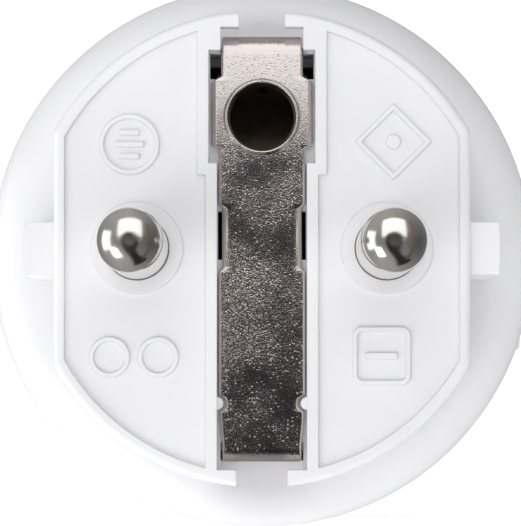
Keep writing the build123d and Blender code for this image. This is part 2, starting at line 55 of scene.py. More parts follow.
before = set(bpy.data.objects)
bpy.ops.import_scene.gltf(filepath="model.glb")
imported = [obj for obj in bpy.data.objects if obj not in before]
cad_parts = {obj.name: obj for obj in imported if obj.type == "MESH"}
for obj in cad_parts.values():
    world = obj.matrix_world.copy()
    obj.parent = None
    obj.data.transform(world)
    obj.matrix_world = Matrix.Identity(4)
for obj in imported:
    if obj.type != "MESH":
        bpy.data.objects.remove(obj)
CAD_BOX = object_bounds()
MM = 0.001
METER = "meter"
SMOOTH_BELOW = 35.0

# The earth strap, in millimetres: its face below the plug's face, and what is cut, drawn and notched in it
STRAP_FRONT = 0.7
STRAP_LEG_HALF = 3.05
STRAP_LEG_ROLL = 0.14
HEAD_BEND, FOOT_BEND = 1.4, 0.95
FACE_STATIONS = 330
EARTH_HOLE_UP = 10.0
NOTCH_UP, NOTCH_R, NOTCH_DEEP = -11.8, 0.62, 0.95
RIVET_BACK, RIVET_UP, RIVET_HOLE_R = 21.5, 15.9, 1.05
COLLAR_R, COLLAR_LIP = 2.84, 0.26
WIRE_R = 0.22
SOLDER_HEIGHT = 0.7
FLAG_REACH = 0.6


# ---------------------------------------------------------------------------------------
# Small helpers
# ---------------------------------------------------------------------------------------
def linear(hex_text):
    """An sRGB hex colour as linear RGBA."""
    channels = [int(hex_text[i:i + 2], 16) / 255 for i in (0, 2, 4)]
    bent = [c / 12.92 if c <= 0.04045 else ((c + 0.055) / 1.055) ** 2.4 for c in channels]
    return (*bent, 1.0)


def per_mm(size):
    """Texture scale whose features are about this many millimetres across."""
    return 1.0 / (size * MM)


def add_node(tree, kind, inputs=None, **settings):
    """One node with its settings; an input is a value or another node's output socket."""
    node = tree.nodes.new(kind)
    for name, value in settings.items():
        setattr(node, name, value)
    for socket, value in (inputs or {}).items():
        if isinstance(value, bpy.types.NodeSocket):
            tree.links.new(value, node.inputs[socket])
        else:
            node.inputs[socket].default_value = value
    return node


def new_finish(name):
    """An empty node material: its tree and the output node."""
    material = bpy.data.materials.new(name)
    material.use_nodes = True
    tree = material.node_tree
    tree.nodes.clear()
    output = add_node(tree, "ShaderNodeOutputMaterial")
    return material, tree, output


def ramp(tree, factor, stops):
    """A colour ramp through (position, rgba) stops."""
    node = add_node(tree, "ShaderNodeValToRGB", {"Fac": factor})
    elements = node.color_ramp.elements
    while len(elements) > len(stops):
        elements.remove(elements[-1])
    while len(elements) < len(stops):
        elements.new(0.5)
    for element, (position, colour) in zip(elements, stops):
        element.position = position
        element.color = colour
    return node.outputs["Color"]


def spread(tree, factor, low, high, start=0.3, stop=0.7):
    """A value that runs from low to high as the factor runs from start to stop."""
    node = add_node(tree, "ShaderNodeMapRange", {
        "Value": factor, "From Min": start, "From Max": stop, "To Min": low, "To Max": high})
    return node.outputs["Result"]


def dress(node_name, material):
    """Give a carried CAD node its finish."""
    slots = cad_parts[node_name].data.materials
    slots.clear()
    slots.append(material)


def eased(value, stops):
    """A number read off (position, number) stops in rising order, smooth between them."""
    if value <= stops[0][0]:
        return stops[0][1]
    for (low, first), (high, second) in zip(stops, stops[1:]):
        if value <= high:
            t = (value - low) / (high - low)
            return first + (second - first) * t * t * (3 - 2 * t)
    return stops[-1][1]


def loft(work, sections):
    """Quads between closed sections of the same count, capped at both ends, in millimetres."""
    rows = [[work.verts.new(Vector(point) * MM) for point in section] for section in sections]
    for low, high in zip(rows, rows[1:]):
        for i in range(len(low)):
            j = (i + 1) % len(low)
            work.faces.new((low[i], low[j], high[j], high[i]))
    work.faces.new(rows[0][::-1])
    work.faces.new(rows[-1])


def lathe(work, centre, profile, steps=64):
    """A closed (radius, depth) profile turned about a line along Y through the centre, in millimetres."""
    rings = []
    for k in range(steps):
        turn = 2 * math.pi * k / steps
        rings.append([work.verts.new(Vector((centre[0] + r * math.cos(turn), y,
                                             centre[1] + r * math.sin(turn))) * MM) for r, y in profile])
    for k in range(steps):
        near, far = rings[k], rings[(k + 1) % steps]
        for i in range(len(profile)):
            j = (i + 1) % len(profile)
            work.faces.new((near[i], near[j], far[j], far[i]))


def finished(name, work, material):
    """The bmesh as an object at the origin: normals outward, smooth but for its sharp edges."""
    bmesh.ops.recalc_face_normals(work, faces=work.faces)
    mesh = bpy.data.meshes.new(name)
    work.to_mesh(mesh)
    work.free()
    mesh.materials.append(material)
    mesh.shade_smooth()
    mesh.set_sharp_from_angle(angle=math.radians(SMOOTH_BELOW))
    piece = bpy.data.objects.new(name, mesh)
    bpy.context.scene.collection.objects.link(piece)
    return piece


def settled(piece):
    """The piece with its modifiers worked out into a plain mesh."""
    plain = bpy.data.meshes.new_from_object(piece.evaluated_get(bpy.context.evaluated_depsgraph_get()))
    piece.modifiers.clear()
    old, piece.data = piece.data, plain
    plain.name = old.name
    bpy.data.meshes.remove(old)
    return piece


def repeating(name, inputs):
    """An empty geometry tree with named inputs: the tree, its input node and its output node."""
    tree = bpy.data.node_groups.new(name, "GeometryNodeTree")
    tree.interface.new_socket("Geometry", in_out="INPUT", socket_type="NodeSocketGeometry")
    for label, kind in inputs:
        tree.interface.new_socket(label, in_out="INPUT", socket_type=kind)
    tree.interface.new_socket("Geometry", in_out="OUTPUT", socket_type="NodeSocketGeometry")
    return tree, add_node(tree, "NodeGroupInput"), add_node(tree, "NodeGroupOutput")


def grown(name, mesh, tree, values):
    """An object whose geometry tree, given its values, is worked out into a plain mesh."""
    piece = bpy.data.objects.new(name, mesh)
    bpy.context.scene.collection.objects.link(piece)
    modifier = piece.modifiers.new("Repeat", "NODES")
    modifier.node_group = tree
    sockets = {item.name: item.identifier for item in tree.interface.items_tree
               if item.item_type == "SOCKET" and item.in_out == "INPUT"}
    for label, value in values.items():
        modifier[sockets[label]] = value
    return settled(piece)


def winding_tree():
    """Turns of round wire stacked side by side along a line."""
    tree, given, result = repeating("Winding turns", (
        ("Turns", "NodeSocketInt"), ("First turn", "NodeSocketVector"), ("Last turn", "NodeSocketVector"),
        ("Mean radius", "NodeSocketFloat"), ("Wire radius", "NodeSocketFloat"),
        ("Finish", "NodeSocketMaterial")))
    places = add_node(tree, "GeometryNodeMeshLine", {
        "Count": given.outputs["Turns"], "Start Location": given.outputs["First turn"],
        "Offset": given.outputs["Last turn"]}, mode="END_POINTS")
    turn = add_node(tree, "GeometryNodeCurvePrimitiveCircle", {
        "Resolution": 36, "Radius": given.outputs["Mean radius"]})
    wire = add_node(tree, "GeometryNodeCurvePrimitiveCircle", {
        "Resolution": 8, "Radius": given.outputs["Wire radius"]})
    tube = add_node(tree, "GeometryNodeCurveToMesh", {
        "Curve": turn.outputs["Curve"], "Profile Curve": wire.outputs["Curve"]})
    stack = add_node(tree, "GeometryNodeInstanceOnPoints", {
        "Points": places.outputs["Mesh"], "Instance": tube.outputs["Mesh"], "Rotation": (math.pi / 2, 0, 0)})
    real = add_node(tree, "GeometryNodeRealizeInstances", {"Geometry": stack.outputs["Instances"]})
    dressed = add_node(tree, "GeometryNodeSetMaterial", {
        "Geometry": real.outputs["Geometry"], "Material": given.outputs["Finish"]})
    tree.links.new(dressed.outputs["Geometry"], result.inputs["Geometry"])
    return tree


def solder_tree():
    """A small cone of solder, blunt at its top, on every point."""
    tree, given, result = repeating("Solder joints", (
        ("Foot radius", "NodeSocketFloat"), ("Lead radius", "NodeSocketFloat"),
        ("Height", "NodeSocketFloat"), ("Finish", "NodeSocketMaterial")))
    cone = add_node(tree, "GeometryNodeMeshCone", {
        "Vertices": 16, "Side Segments": 3, "Radius Top": given.outputs["Lead radius"],
        "Radius Bottom": given.outputs["Foot radius"], "Depth": given.outputs["Height"]})
    dots = add_node(tree, "GeometryNodeInstanceOnPoints", {
        "Points": given.outputs["Geometry"], "Instance": cone.outputs["Mesh"],
        "Rotation": (math.pi / 2, 0, 0)})
    real = add_node(tree, "GeometryNodeRealizeInstances", {"Geometry": dots.outputs["Instances"]})
    dressed = add_node(tree, "GeometryNodeSetMaterial", {
        "Geometry": real.outputs["Geometry"], "Material": given.outputs["Finish"]})
    tree.links.new(dressed.outputs["Geometry"], result.inputs["Geometry"])
    return tree


# ---------------------------------------------------------------------------------------
# Finishes
# ---------------------------------------------------------------------------------------
def moulded_plastic(name, light, shade, roughness, grain, depth, edge, glow=0.0):
    """Injection-moulded thermoplastic: spark-eroded grain, slow flow variation, softened edges."""
    material, tree, output = new_finish(name)
    place = add_node(tree, "ShaderNodeTexCoord").outputs["Object"]
    flow = add_node(tree, "ShaderNodeTexNoise", {"Vector": place, "Scale": per_mm(11.0), "Detail": 2.0})
    pits = add_node(tree, "ShaderNodeTexNoise", {"Vector": place, "Scale": per_mm(grain), "Detail": 3.0})
    colour = ramp(tree, flow.outputs["Fac"], [(0.35, linear(shade)), (0.65, linear(light))])
    rough = spread(tree, flow.outputs["Fac"], roughness - 0.03, roughness + 0.04)
    soft = add_node(tree, "ShaderNodeBevel", {"Radius": edge * MM}, samples=6)
    bump = add_node(tree, "ShaderNodeBump", {
        "Strength": 0.6, "Distance": depth * MM, "Height": pits.outputs["Fac"],
        "Normal": soft.outputs["Normal"]})
    shader = add_node(tree, "ShaderNodeBsdfPrincipled", {
        "Base Color": colour, "Roughness": rough, "Normal": bump.outputs["Normal"],
        "IOR": 1.57, "Specular IOR Level": 0.5, "Subsurface Weight": glow,
        "Subsurface Radius": (1.0, 0.72, 0.52), "Subsurface Scale": 0.9 * MM})
    tree.links.new(shader.outputs["BSDF"], output.inputs["Surface"])
    return material


def plated_pin(name, tone, roughness):
    """Nickel over turned brass: satin mirror, with faint tool rings every 0.2 mm around the pin."""
    material, tree, output = new_finish(name)
    place = add_node(tree, "ShaderNodeTexCoord").outputs["Object"]
    rings = add_node(tree, "ShaderNodeTexWave", {
        "Vector": place, "Scale": per_mm(0.2) / 20.0, "Distortion": 0.6, "Detail": 2.0},
        wave_type="BANDS", bands_direction="Y")
    wipe = add_node(tree, "ShaderNodeTexNoise", {"Vector": place, "Scale": per_mm(1.6), "Detail": 4.0})
    rough = spread(tree, wipe.outputs["Fac"], roughness, roughness + 0.09)
    colour = ramp(tree, wipe.outputs["Fac"], [(0.35, linear(tone)), (0.7, linear("efece7"))])
    bump = add_node(tree, "ShaderNodeBump", {
        "Strength": 0.25, "Distance": 0.002 * MM, "Height": rings.outputs["Fac"]})
    shader = add_node(tree, "ShaderNodeBsdfPrincipled", {
        "Base Color": colour, "Metallic": 1.0, "Roughness": rough, "Normal": bump.outputs["Normal"]})
    tree.links.new(shader.outputs["BSDF"], output.inputs["Surface"])
    return material


def plated_sheet(name, light, dark, roughness, speck, edge=0.0, crown=0.0, rolled=(1.0, 1.0, 14.0)):
    """Pressed sheet under thin plating: fine rolling grain, little pits, and a crown towards the head."""
    material, tree, output = new_finish(name)
    place = add_node(tree, "ShaderNodeTexCoord").outputs["Object"]
    along = add_node(tree, "ShaderNodeMapping", {"Vector": place, "Scale": rolled})
    grain = add_node(tree, "ShaderNodeTexNoise", {
        "Vector": along.outputs["Vector"], "Scale": per_mm(1.6), "Detail": 2.0, "Roughness": 0.6})
    stain = add_node(tree, "ShaderNodeTexNoise", {"Vector": place, "Scale": per_mm(4.0), "Detail": 3.0})
    colour = ramp(tree, stain.outputs["Fac"], [(0.3, linear(dark)), (0.7, linear(light))])
    rough = spread(tree, stain.outputs["Fac"], roughness - 0.02, roughness + 0.04)
    # the pits are denser where the blank was worked most
    pits = add_node(tree, "ShaderNodeTexNoise", {"Vector": place, "Scale": per_mm(0.11), "Detail": 1.0})
    deep = spread(tree, pits.outputs["Fac"], 0.0, 1.0, 0.5, 0.75)
    patch = spread(tree, stain.outputs["Fac"], 0.25, 1.0, 0.35, 0.65)
    depth = add_node(tree, "ShaderNodeMath", {0: deep, 1: patch}, operation="MULTIPLY")
    relief = add_node(tree, "ShaderNodeBump", {
        "Strength": 0.5, "Distance": 0.0012 * MM, "Height": grain.outputs["Fac"]})
    if edge:
        soft = add_node(tree, "ShaderNodeBevel", {"Radius": edge * MM}, samples=6)
        tree.links.new(soft.outputs["Normal"], relief.inputs["Normal"])
    bump = add_node(tree, "ShaderNodeBump", {
        "Strength": speck, "Distance": 0.009 * MM, "Height": depth.outputs["Value"],
        "Normal": relief.outputs["Normal"]})
    # and here and there a grain of plating stands up and glints
    cells = add_node(tree, "ShaderNodeTexVoronoi", {"Vector": place, "Scale": per_mm(0.18)})
    grain_top = spread(tree, cells.outputs["Distance"], 1.0, 0.0, 0.08, 0.4)
    chosen = spread(tree, add_node(tree, "ShaderNodeSeparateColor", {"Color": cells.outputs["Color"]}
                                   ).outputs["Red"], 0.0, 1.0, 0.62, 0.98)
    glint = add_node(tree, "ShaderNodeMath", {0: grain_top, 1: chosen}, operation="MULTIPLY")
    glint = add_node(tree, "ShaderNodeMath", {0: glint.outputs["Value"], 1: patch}, operation="MULTIPLY")
    last = add_node(tree, "ShaderNodeBump", {
        "Strength": speck, "Distance": 0.034 * MM, "Height": glint.outputs["Value"],
        "Normal": bump.outputs["Normal"]})
    if crown:
        # the blank falls away towards its head
        height = add_node(tree, "ShaderNodeSeparateXYZ", {"Vector": place}).outputs["Z"]
        rise = spread(tree, height, 0.0, 1.0, 6.5 * MM, 15.0 * MM)
        sag = add_node(tree, "ShaderNodeMath", {0: rise, 1: 2.0}, operation="POWER")
        last = add_node(tree, "ShaderNodeBump", {
            "Strength": 1.0, "Distance": crown * MM, "Height": sag.outputs["Value"],
            "Normal": last.outputs["Normal"]}, invert=True)
    shader = add_node(tree, "ShaderNodeBsdfPrincipled", {
        "Base Color": colour, "Metallic": 1.0, "Roughness": rough, "Normal": last.outputs["Normal"]})
    tree.links.new(shader.outputs["BSDF"], output.inputs["Surface"])
    return material


def circuit_board(name, mask, copper):
    """Glass-epoxy board under solder mask: tracks show as slightly paler raised bands."""
    material, tree, output = new_finish(name)
    place = add_node(tree, "ShaderNodeTexCoord").outputs["Object"]
    tracks = add_node(tree, "ShaderNodeTexBrick", {
        "Vector": place, "Scale": per_mm(6.0), "Mortar Size": 0.08, "Brick Width": 0.8,
        "Row Height": 0.22, "Color1": (0, 0, 0, 1), "Color2": (0.35, 0.35, 0.35, 1),
        "Mortar": (1, 1, 1, 1)})
    weave = add_node(tree, "ShaderNodeTexNoise", {"Vector": place, "Scale": per_mm(0.5)})
    colour = ramp(tree, tracks.outputs["Color"], [(0.0, linear(mask)), (1.0, linear(copper))])
    bump = add_node(tree, "ShaderNodeBump", {
        "Strength": 0.5, "Distance": 0.03 * MM, "Height": tracks.outputs["Fac"]})
    shader = add_node(tree, "ShaderNodeBsdfPrincipled", {
        "Base Color": colour, "Roughness": spread(tree, weave.outputs["Fac"], 0.26, 0.4),
        "Normal": bump.outputs["Normal"], "IOR": 1.5})
    tree.links.new(shader.outputs["BSDF"], output.inputs["Surface"])
    return material


def coated_part(name, light, dark, roughness, metallic=0.0, grain=0.4, depth=0.01):
    """Small component skins: dipped, shrunk, pressed or tinned, told apart by tone and grain."""
    material, tree, output = new_finish(name)
    place = add_node(tree, "ShaderNodeTexCoord").outputs["Object"]
    fine = add_node(tree, "ShaderNodeTexNoise", {"Vector": place, "Scale": per_mm(grain), "Detail": 3.0})
    slow = add_node(tree, "ShaderNodeTexNoise", {"Vector": place, "Scale": per_mm(3.0)})
    colour = ramp(tree, slow.outputs["Fac"], [(0.35, linear(dark)), (0.65, linear(light))])
    bump = add_node(tree, "ShaderNodeBump", {
        "Strength": 0.5, "Distance": depth * MM, "Height": fine.outputs["Fac"]})
    shader = add_node(tree, "ShaderNodeBsdfPrincipled", {
        "Base Color": colour, "Metallic": metallic,
        "Roughness": spread(tree, fine.outputs["Fac"], roughness - 0.05, roughness + 0.06),
        "Normal": bump.outputs["Normal"]})
    tree.links.new(shader.outputs["BSDF"], output.inputs["Surface"])
    return material


def frosted_lens(name, tint):
    """Moulded acrylic light guide: milky, passes some light."""
    material, tree, output = new_finish(name)
    place = add_node(tree, "ShaderNodeTexCoord").outputs["Object"]
    haze = add_node(tree, "ShaderNodeTexNoise", {"Vector": place, "Scale": per_mm(0.6), "Detail": 2.0})
    bump = add_node(tree, "ShaderNodeBump", {
        "Strength": 0.3, "Distance": 0.004 * MM, "Height": haze.outputs["Fac"]})
    shader = add_node(tree, "ShaderNodeBsdfPrincipled", {
        "Base Color": ramp(tree, haze.outputs["Fac"], [(0.3, linear("e6e9ee")), (0.7, linear(tint))]),
        "Roughness": spread(tree, haze.outputs["Fac"], 0.14, 0.24),
        "IOR": 1.49, "Transmission Weight": 0.1, "Normal": bump.outputs["Normal"]})
    tree.links.new(shader.outputs["BSDF"], output.inputs["Surface"])
    return material


def flag_cloth(name, size, dark, light):
    """A dead matt surface with a pile or crumb of the given size."""
    material, tree, output = new_finish(name)
    pile = add_node(tree, "ShaderNodeTexNoise", {
        "Vector": add_node(tree, "ShaderNodeTexCoord").outputs["Object"], "Scale": per_mm(size)})
    shader = add_node(tree, "ShaderNodeBsdfPrincipled", {
        "Base Color": ramp(tree, pile.outputs["Fac"], [(0.3, linear(dark)), (0.7, linear(light))]),
        "Roughness": 1.0, "Specular IOR Level": 0.0})
    tree.links.new(shader.outputs["BSDF"], output.inputs["Surface"])
    return material


# ---------------------------------------------------------------------------------------
# Settings
# ---------------------------------------------------------------------------------------
class MeterShellSettings(bpy.types.PropertyGroup):
    """What a user may change on the housing."""
    tone: bpy.props.StringProperty(
        name="Shell colour", description="sRGB hex of the moulded housing", default="f4f4f6")
    roughness: bpy.props.FloatProperty(
        name="Shell roughness", description="Satin finish of the moulding", default=0.34,
        min=0.05, max=1.0, subtype="FACTOR")


class MeterStrapSettings(bpy.types.PropertyGroup):
    """What a user may change on the earth strap."""
    gauge: bpy.props.FloatProperty(
        name="Gauge", description="Sheet thickness in millimetres", default=0.8, min=0.4, max=1.2)
    pitting: bpy.props.FloatProperty(
        name="Pitting", description="How far the plating's pits stand out", default=0.8,
        min=0.0, max=1.0, subtype="FACTOR")


class MeterStudioSettings(bpy.types.PropertyGroup):
    """What a user may change in the studio."""
    key_power: bpy.props.FloatProperty(
        name="Key light", description="Power of the low left softbox", default=1.8, min=0.0, unit="POWER")
    side_power: bpy.props.FloatProperty(
        name="Side light", description="Power of the large left panel", default=2.4, min=0.0, unit="POWER")
    top_power: bpy.props.FloatProperty(
        name="Top light", description="Power of the large panel above the lens", default=4.7,
        min=0.0, unit="POWER")
    room: bpy.props.FloatProperty(
        name="Room", description="Strength of the white room around", default=0.235, min=0.0)


class METER_OT_housing(bpy.types.Operator):
    """Dress the housing mouldings, button, light guide and shutter"""
    bl_idname = "meter.housing"
    bl_label = "Housing"

    def execute(self, context):
        shell = context.scene.meter_shell
        # polycarbonate blend, spark-eroded mould: satin white with a barely visible grain
        white = moulded_plastic("Polycarbonate_moulded_satin", shell.tone, "f0f0f3", shell.roughness,
                                grain=0.22, depth=0.006, edge=0.16, glow=0.08)
        for node_name in ("rear_housing", "outlet_housing", "outlet_floor"):
            dress(node_name, white)
        # same resin from a polished tool: a little glossier than the shell around it
        cap = moulded_plastic("Polycarbonate_moulded_polished", shell.tone, "f0f0f3", 0.22,
                              grain=0.3, depth=0.003, edge=0.1, glow=0.08)
        dress("button", cap)
        dress("light_guide", frosted_lens("Acrylic_moulded_frosted", "f4f6f8"))
        # glass-filled nylon behind the outlet floor: greyer and more matt
        nylon = moulded_plastic("Nylon_moulded_glass_filled", "dcdcda", "d3d3d1", 0.55,
                                grain=0.5, depth=0.012, edge=0.1)
        dress("shutter_carrier", nylon)
        dress("shutter", nylon)
        return {"FINISHED"}


class METER_OT_plug_metal(bpy.types.Operator):
    """Dress the plug pins, the earth sleeve and the outlet's contacts"""
    bl_idname = "meter.plug_metal"
    bl_label = "Plug metal"

    def execute(self, context):
        pins = plated_pin("Nickel_on_brass_turned", "e4dfd8", 0.15)
        for node_name in ("line_pin", "neutral_pin"):
            dress(node_name, pins)
        # drawn deep and left dull inside
        dress("earth_sleeve", plated_sheet("Brass_deep_drawn_dull", "857a6e", "5c544c", 0.3, 0.5))
        spring = plated_sheet("Nickel_on_spring_steel_rolled", "c8c6c2", "b4b1ac", 0.28, 0.3, edge=0.08)
        for node_name in ("upper_earth_clip", "lower_earth_clip", "earth_rivets"):
            dress(node_name, spring)
        bronze = plated_sheet("Phosphor_bronze_rolled", "c79a5e", "a9793f", 0.3, 0.2, edge=0.08)
        for node_name in ("line_contact", "neutral_contact"):
            dress(node_name, bronze)
        dress("shutter_spring", coated_part("Spring_wire_drawn", "a9a9a8", "8f8f8e", 0.3, metallic=1.0))
        return {"FINISHED"}


# Half width of the strap across the plug's face and the radius its edges are rolled to, from foot to head
STRAP_WIDTHS = ((-15.4, 3.0), (-12.6, 3.2), (-12.2, 3.3), (-1.85, 3.3), (-1.35, 3.05), (2.95, 3.05),
                (3.45, 3.3), (7.66, 3.3), (7.84, 3.86), (12.7, 3.86), (13.2, 3.05), (16.3, 3.05))
STRAP_ROLLS = ((-15.4, 0.2), (-1.85, 0.22), (-1.35, 0.5), (2.95, 0.5), (3.45, 0.22), (7.66, 0.22),
               (7.84, 0.46), (12.6, 0.46), (13.1, 0.14), (16.3, 0.14))


class METER_OT_earth_strap(bpy.types.Operator):
    """Press the earth strap: rolled edges, wings, waist, notches, and the collar drawn round its hole"""
    bl_idname = "meter.earth_strap"
    bl_label = "Earth strap"

    def execute(self, context):
        settings = context.scene.meter_strap
        gauge = settings.gauge
        low, high = (Vector(corner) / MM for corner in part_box("earth_strap"))
        # stations down one leg, over the head, down the face, round the foot and up the other leg
        path = []
        for step in range(11):
            path.append((high.y + (STRAP_FRONT + HEAD_BEND - high.y) * step / 10, high.z, 0.0))
        for step in range(1, 10):
            path.append((STRAP_FRONT + HEAD_BEND, high.z - HEAD_BEND, 90 * step / 10, HEAD_BEND))
        span = high.z - HEAD_BEND - (low.z + FOOT_BEND)
        for step in range(FACE_STATIONS + 1):
            path.append((STRAP_FRONT, high.z - HEAD_BEND - span * step / FACE_STATIONS, 90.0))
        for step in range(1, 10):
            path.append((STRAP_FRONT + FOOT_BEND, low.z + FOOT_BEND, 90 + 90 * step / 10, FOOT_BEND))
        for step in range(11):
            path.append((STRAP_FRONT + FOOT_BEND + (high.y - STRAP_FRONT - FOOT_BEND) * step / 10,
                         low.z, 180.0))
        sections = []
        for station in path:
            turn = math.radians(station[2])
            outward = Vector((0, -math.sin(turn), math.cos(turn)))
            base = Vector((0, station[0], station[1]))
            if len(station) == 4:
                base += outward * station[3]
            flat = station[2] == 90.0
            half = eased(base.z, STRAP_WIDTHS)
            roll = eased(base.z, STRAP_ROLLS)
            if not flat:
                half = min(half, STRAP_LEG_HALF)
                roll = min(roll, STRAP_LEG_ROLL)
            notch = NOTCH_R ** 2 - (base.z - NOTCH_UP) ** 2
            if flat and notch > 0:
                half = min(half, 3.3 - NOTCH_DEEP * math.sqrt(notch))
            side = [(half * 0.35, 0.0), (half * 0.7, 0.0)]
            for k in range(7):
                bend = math.radians(90 * k / 6)
                side.append((half - roll + roll * math.sin(bend), roll * (1 - math.cos(bend))))
            side += [(half, gauge - 0.1), (half - 0.1, gauge), (half * 0.6, gauge)]
            loop = [(0.0, 0.0), *side, (0.0, gauge), *((-x, d) for x, d in reversed(side))]
            sections.append([base + Vector((x, 0, 0)) - outward * d for x, d in loop])
        work = bmesh.new()
        loft(work, sections)
        # nickel over deep-drawing steel: satin mirror with little pits, cream towards the crowned head
        nickel = plated_sheet("Nickel_on_steel_pressed", "e0d6cf", "cbc4c4", 0.18, settings.pitting,
                              crown=0.44)
        sheet = finished("earth_strap_pressed", work, nickel)
        # holes for the wall outlet's earth pin and the two rivets
        cutter_work = bmesh.new()
        for place, radius, turn in (((0, 1.1, EARTH_HOLE_UP), 2.62, math.pi / 2),
                                    ((0, RIVET_BACK, RIVET_UP), RIVET_HOLE_R, 0),
                                    ((0, RIVET_BACK, -RIVET_UP), RIVET_HOLE_R, 0)):
            bmesh.ops.create_cone(
                cutter_work, cap_ends=True, segments=48, radius1=radius * MM, radius2=radius * MM,
                depth=3 * MM, matrix=Matrix.Translation(Vector(place) * MM) @ Matrix.Rotation(turn, 4, "X"))
        cutter = finished("strap_cutter", cutter_work, nickel)
        cut = sheet.modifiers.new("Holes", "BOOLEAN")
        cut.operation = "DIFFERENCE"
        cut.solver = "EXACT"
        cut.object = cutter
        settled(sheet)
        bpy.data.objects.remove(cutter)
        # the drawn collar, a rounded lip that turns into the hole
        work = bmesh.new()
        work.from_mesh(sheet.data)
        profile = [(3.0, STRAP_FRONT + 0.02), (2.9, STRAP_FRONT - 0.05), (2.85, STRAP_FRONT - 0.16)]
        for k in range(9):
            bend = math.radians(20 * k)
            profile.append((COLLAR_R - COLLAR_LIP / 2 + COLLAR_LIP / 2 * math.cos(bend),
                            0.34 - COLLAR_LIP / 2 * math.sin(bend)))
        profile += [(COLLAR_R - COLLAR_LIP, STRAP_FRONT + gauge), (2.9, STRAP_FRONT + gauge),
                    (3.1, STRAP_FRONT + 0.5)]
        lathe(work, (0.0, EARTH_HOLE_UP), profile)
        mesh = sheet.data
        bmesh.ops.recalc_face_normals(work, faces=work.faces)
        work.to_mesh(mesh)
        work.free()
        mesh.shade_smooth()
        mesh.set_sharp_from_angle(angle=math.radians(SMOOTH_BELOW))
        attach(sheet, METER)
        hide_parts("earth_strap")
        return {"FINISHED"}


class METER_OT_channel_pegs(bpy.types.Operator):
    """Mould the two half-round pegs of the channel that sit in the strap's notches"""
    bl_idname = "meter.channel_pegs"
    bl_label = "Channel pegs"

    def execute(self, context):
        work = bmesh.new()
        for side in (1, -1):
            lathe(work, (side * 3.44, NOTCH_UP), [
                (0.0, 1.52), (0.5, 1.52), (0.5, 0.78), (0.46, 0.7), (0.38, 0.66), (0.0, 0.66)], steps=32)
        bmesh.ops.remove_doubles(work, verts=work.verts, dist=0.0005 * MM)
        pegs = finished("channel_pegs", work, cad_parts["rear_housing"].data.materials[0])
        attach(pegs, METER)
        return {"FINISHED"}


class METER_OT_boards(bpy.types.Operator):
    """Dress the circuit boards and the components on them"""
    bl_idname = "meter.boards"
    bl_label = "Boards"

    def execute(self, context):
        green = circuit_board("Glass_epoxy_green_mask", "0d4a2c", "1d6a41")
        dress("power_board", green)
        dress("control_board", green)
        dress("radio_module", circuit_board("Glass_epoxy_black_mask", "141618", "2a2d30"))
        epoxy = coated_part("Epoxy_transfer_moulded", "26272a", "1b1c1e", 0.5, depth=0.02)
        for node_name in ("relay", "bridge_rectifier", "converter_chip", "metering_chip", "switch_body"):
            dress(node_name, epoxy)
        dress("shunt", coated_part("Manganin_rolled", "b98f6d", "9d7657", 0.3, metallic=1.0, grain=0.3))
        dress("fuse", coated_part("Ceramic_fuse_dipped", "6a3b22", "55301d", 0.3))
        dress("varistor", coated_part("Varistor_epoxy_dipped", "2549a8", "1d3c90", 0.32))
        dress("filter_capacitor", coated_part("Polyester_box_moulded", "d8b13a", "c39d2c", 0.45))
        sleeve = coated_part("Shrink_sleeve_printed", "20263f", "171b2e", 0.28)
        dress("bulk_capacitor", sleeve)
        dress("output_capacitor", sleeve)
        dress("choke", coated_part("Ferrite_pressed", "35353a", "28282c", 0.7, grain=0.2, depth=0.03))
        dress("board_link_pins", coated_part("Header_pin_gilt", "d9b45c", "bf9a45", 0.25, metallic=1.0))
        dress("radio_shield", plated_sheet("Tinplate_pressed", "c9cacb", "b3b4b5", 0.3, 0.25))
        dress("switch_plunger", coated_part("Acetal_moulded", "dedbd3", "cfccc3", 0.45))
        dress("status_lamp", coated_part("Lamp_lens_cast", "f3f0d8", "e6e2c4", 0.2))
        return {"FINISHED"}


class METER_OT_board_work(bpy.types.Operator):
    """Wind the choke and solder the leads on the power board's back"""
    bl_idname = "meter.board_work"
    bl_label = "Winding and solder"

    def execute(self, context):
        low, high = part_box("choke_winding")
        middle = (Vector(low) + Vector(high)) / 2
        wire = WIRE_R * MM
        copper = coated_part("Enamelled_copper_wound", "b5582e", "8f4322", 0.25, metallic=1.0)
        winding = grown("choke_turns", bpy.data.meshes.new("choke_turns"), winding_tree(), {
            "Turns": 12,
            "First turn": (middle.x, low[1] + wire, middle.z),
            "Last turn": (middle.x, high[1] - wire, middle.z),
            "Mean radius": (high[0] - low[0]) / 2 - wire, "Wire radius": wire, "Finish": copper})
        winding.data.shade_smooth()
        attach(winding, METER)
        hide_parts("choke_winding")
        # two leads under every part that stands on the power board
        board_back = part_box("power_board")[0][1]
        height = SOLDER_HEIGHT * MM
        leads = bpy.data.meshes.new("solder_joints")
        places = []
        for node_name in ("relay", "fuse", "varistor", "filter_capacitor", "bridge_rectifier",
                          "bulk_capacitor", "output_capacitor", "choke", "shunt"):
            low, high = (Vector(corner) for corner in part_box(node_name))
            centre, reach = (low + high) / 2, (high - low) * 0.36
            for side in (-1, 1):
                along = (reach.x * side, 0) if reach.x > reach.z else (0, reach.z * side)
                places.append((centre.x + along[0], board_back - height / 2, centre.z + along[1]))
        leads.from_pydata(places, [], [])
        # lead-free solder, wetted and cooled slowly
        solder = coated_part("Tin_solder_reflowed", "c9cacb", "a9aaac", 0.3, metallic=1.0, grain=0.25,
                             depth=0.02)
        joints = grown("solder_joints", leads, solder_tree(), {
            "Foot radius": 0.75 * MM, "Lead radius": 0.3 * MM, "Height": height, "Finish": solder})
        joints.data.shade_smooth()
        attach(joints, METER)
        return {"FINISHED"}


